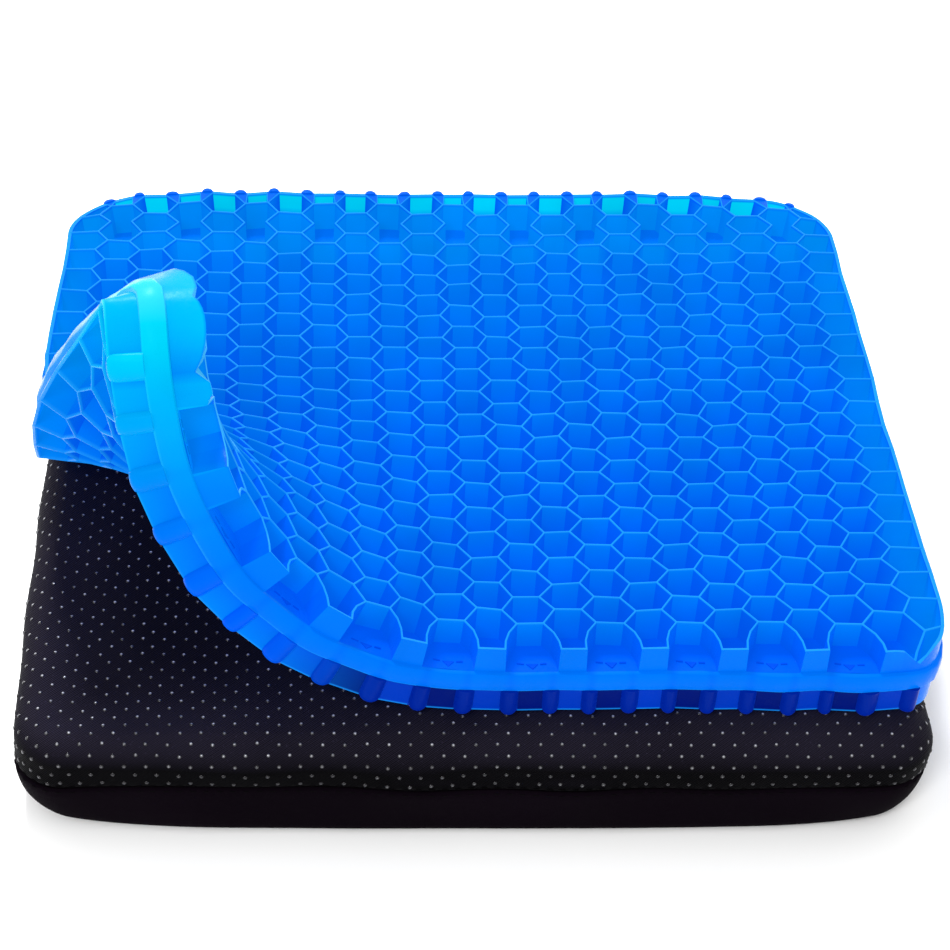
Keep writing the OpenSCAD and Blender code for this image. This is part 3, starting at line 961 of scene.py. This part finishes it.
# the binding runs inside the seam, from one end of the zip round the front to the other
inside = cover_ring(3.0, SEAM_Z) - np.array([0.0, 0.0, SEAM_Z])
closed = np.flatnonzero(rear_open(RIM[:, 0], RIM[:, 1]) < 0.01)
zip_end = closed[np.flatnonzero(np.diff(closed) > 1)[0] + 1]
order = (zip_end + np.arange(len(closed))) % COUNT
binding = strip("seam_binding_tape", inside[order], RIM[order, 2:], 23.0, 31.0, 0.8, TAPE)
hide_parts("seam_binding")
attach(binding, "cover")


# grip dots: low domes on the cover's own surface, in a staggered lattice that runs over the edge
def surface_at(x, y):
    """A point of the cover's top fabric and its normal, for a point of the unrolled fabric."""
    ax, ay, R, small = abs(x), abs(y), TOP_EDGE, COVER_R - TOP_EDGE
    flat_x, flat_y = COVER_W / 2 - R, COVER_D / 2 - R
    dx, dy = ax - (COVER_W / 2 - COVER_R), ay - (COVER_D / 2 - COVER_R)
    if dx > 0 and dy > 0:
        rho = math.hypot(dx, dy)
        out, nx, ny = rho - small, dx / rho, dy / rho
        bx, by = ax - dx + nx * small, ay - dy + ny * small
    elif ax > flat_x and ax - flat_x > ay - flat_y:
        out, nx, ny, bx, by = ax - flat_x, 1.0, 0.0, flat_x, ay
    else:
        out, nx, ny, bx, by = ay - flat_y, 0.0, 1.0, ax, flat_y
    if out <= 0:
        return (x, y, float(top_height(x, y))), (0, 0, 1)
    sx, sy = math.copysign(1, x), math.copysign(1, y)
    if out >= R * math.pi / 2:
        z = COVER_H - R - (out - R * math.pi / 2)
        return (sx * (bx + nx * R), sy * (by + ny * R), z), (sx * nx, sy * ny, 0.0)
    a = math.pi / 2 - out / R
    h, z = R * math.cos(a), COVER_H - R + R * math.sin(a)
    px, py = sx * (bx + nx * h), sy * (by + ny * h)
    z += smooth((math.degrees(a) - 20) / 70) * float(top_height(px, py) - COVER_H)
    return (px, py, z), (sx * nx * math.cos(a), sy * ny * math.cos(a), math.sin(a))


def snap(ob, points, normals):
    """The points, each moved along its normal onto the mesh, with the mesh's normals there."""
    tree = BVHTree.FromPolygons([v.co for v in ob.data.vertices], [tuple(p.vertices) for p in ob.data.polygons])
    out = []
    for p, n in zip(points, normals):
        o, d = Vector(p) * MM, Vector(n)
        place, normal = tree.ray_cast(o + d * 0.012, -d, 0.03)[:2]
        if place is not None:
            out.append((place / MM, normal))
    return out


def domes(name, spots, r, h, mat, sides):
    """Low round domes: two rings and a tip each, above a ring that is sunk into the fabric."""
    verts, f = [], []
    for p, n in spots:
        p, n = Vector(p), Vector(n).normalized()
        a = n.orthogonal().normalized()
        b = n.cross(a)
        base = len(verts)
        for rr, hh in ((1.0, -0.15), (0.78, 0.6 * h), (0.34, 0.95 * h)):
            for i in range(sides):
                t = 2 * math.pi * i / sides
                verts.append(p + (a * math.cos(t) + b * math.sin(t)) * (r * rr) + n * hh)
        verts.append(p + n * h)
        tip = base + 3 * sides
        for ring in (base, base + sides):
            for i in range(sides):
                j = (i + 1) % sides
                f.append((ring + i, ring + j, ring + sides + j, ring + sides + i))
        f += [(tip - sides + i, tip - sides + (i + 1) % sides, tip) for i in range(sides)]
    return new_mesh(name, [tuple(v) for v in verts], f, [mat], 180)


ROW, STEP = 5.1, 9.7
DOT_R, DOT_H, DOT_SIDES = 1.05, 0.42, 10
REACH = TOP_EDGE * (math.pi / 2 - 1) + (COVER_H - TOP_EDGE - SEAM_Z) - 1.5     # how far the dots run over the edge


def dot_places():
    """Points and normals of the dots on the unrolled fabric, each a little off its place in the lattice."""
    pts, nrm = [], []
    for j in range(-60, 61):
        for i in range(-40, 41):
            x, y = (i + (0.5 if j % 2 else 0.0)) * STEP + 1.5, j * ROW
            if abs(x) > COVER_W / 2 + REACH or abs(y) > COVER_D / 2 + REACH:
                continue
            over_x, over_y = abs(x) - (COVER_W / 2 - COVER_R), abs(y) - (COVER_D / 2 - COVER_R)
            if over_x > 0 and over_y > 0 and math.hypot(over_x, over_y) > COVER_R + REACH:
                continue
            off_x, off_y = rng.normal(0, 0.22, 2)
            p, n = surface_at(x + off_x, y + off_y)
            if y > 150 and abs(p[0]) < 176 and p[2] < SEAM_Z + 5:
                continue
            pts.append(p)
            nrm.append(n)
    return pts, nrm


spots = snap(top, *dot_places())
dots = domes("grip_dots", spots, DOT_R, DOT_H, DOT, DOT_SIDES)
# painted highlight: pale on the dot's upper ring a little and its tip most, and less on dots that face sideways
glints = np.zeros((len(spots), 3 * DOT_SIDES + 1))
glints[:, 2 * DOT_SIDES:-1], glints[:, -1] = 0.30, 1.0
facing_up = np.clip([normal[2] for _, normal in spots], 0, 1)
glints *= (rng.uniform(0.25, 1.0, len(spots)) * (0.12 + 0.88 * facing_up))[:, None]
dots.data.attributes.new("dot_glint", "FLOAT", "POINT").data.foreach_set("value", glints.astype(np.float32).ravel())
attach(dots, "cover")


STITCH = ((0.0, 0.4), (0.25, 1.0), (0.75, 1.0), (1.0, 0.4))     # along a stitch, and its share of the full size
STITCH_R, FROM_SEAM = 0.22, 1.9


def seam_stitches():
    """Short threads along the side seam, in a row above it and a row below it, except at the zip."""
    verts, f, up = [], [], np.array([0, 0, 1])
    for z in (SEAM_Z + FROM_SEAM, SEAM_Z - FROM_SEAM):
        ring = cover_ring(0.0, z)
        for i in range(0, COUNT, 2):
            if rear_open(ring[i, 0], ring[i, 1]) > 0.5:
                continue
            p, q, n = ring[i], ring[(i + 1) % COUNT], np.array([*RIM[i, 2:], 0.0])
            base = len(verts)
            for t, size in STITCH:
                c = p + (q - p) * t + n * (0.15 + 0.12 * size)
                for a in range(6):
                    turn = math.pi * a / 3
                    verts.append(c + (n * math.cos(turn) + up * math.sin(turn)) * STITCH_R * size)
            for r in range(base, base + 18, 6):
                for a in range(6):
                    b = (a + 1) % 6
                    f.append((r + a, r + b, r + 6 + b, r + 6 + a))
            f.append(tuple(base + a for a in range(5, -1, -1)))
            f.append(tuple(base + 18 + a for a in range(6)))
    return new_mesh("side_seam_stitches", verts, f, [THREAD], 180)


threads = seam_stitches()
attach(threads, "cover")


# ---------------- floor, light, camera
def plane(name, size, z, mat, n=8):
    """A level square of n by n faces."""
    v = [((i / n - 0.5) * size, (j / n - 0.5) * size, z) for j in range(n + 1) for i in range(n + 1)]
    f = [(a, a + 1, a + n + 2, a + n + 1) for row in range(n) for a in range(row * (n + 1), row * (n + 1) + n)]
    return new_mesh(name, v, f, [mat])


floor = plane("floor", 9000, -0.2, FLOOR)

world = bpy.context.scene.world or bpy.data.worlds.new("studio")
bpy.context.scene.world = world
world.use_nodes = True
bg = next(n for n in world.node_tree.nodes if n.type == "BACKGROUND")
bg.inputs["Color"].default_value = (1, 1, 1, 1)
bg.inputs["Strength"].default_value = 1.0


def softbox(name, at, to, size, power):
    L = bpy.data.lights.new(name, "AREA")
    L.shape, L.size, L.energy = "SQUARE", size, power
    ob = bpy.data.objects.new(name, L)
    ob.location = at
    ob.rotation_euler = (Vector(to) - Vector(at)).to_track_quat("-Z", "Y").to_euler()
    bpy.context.scene.collection.objects.link(ob)


softbox("key", (-0.35, 0.95, 1.55), (0, -0.15, 0.05), 0.46, 46)
softbox("front", (-0.5, -1.25, 1.35), (0, -0.15, 0.05), 0.40, 14)

cam = bpy.data.cameras.new("camera")
cam.sensor_width, cam.lens = 36.0, 88.1
cam.dof.use_dof = False
cam_ob = bpy.data.objects.new("camera", cam)
bpy.context.scene.collection.objects.link(cam_ob)
# fitted to the pad's cells in the photograph
CAMERA_AT = (-0.089, -0.890, 0.8065)
pitch, yaw, roll = math.radians(39.93), math.radians(6.08), math.radians(4.53)
ahead = Vector((math.sin(yaw) * math.cos(pitch), math.cos(yaw) * math.cos(pitch), -math.sin(pitch)))
right = Vector((math.cos(yaw), -math.sin(yaw), 0))
up = right.cross(ahead)
side = right * math.cos(roll) + up * math.sin(roll)
top_side = -right * math.sin(roll) + up * math.cos(roll)
cam_ob.matrix_world = Matrix([(*row, at) for *row, at in zip(side, top_side, -ahead, CAMERA_AT)] + [(0, 0, 0, 1)])
bpy.context.scene.camera = cam_ob
bpy.context.scene.view_settings.view_transform = "Standard"
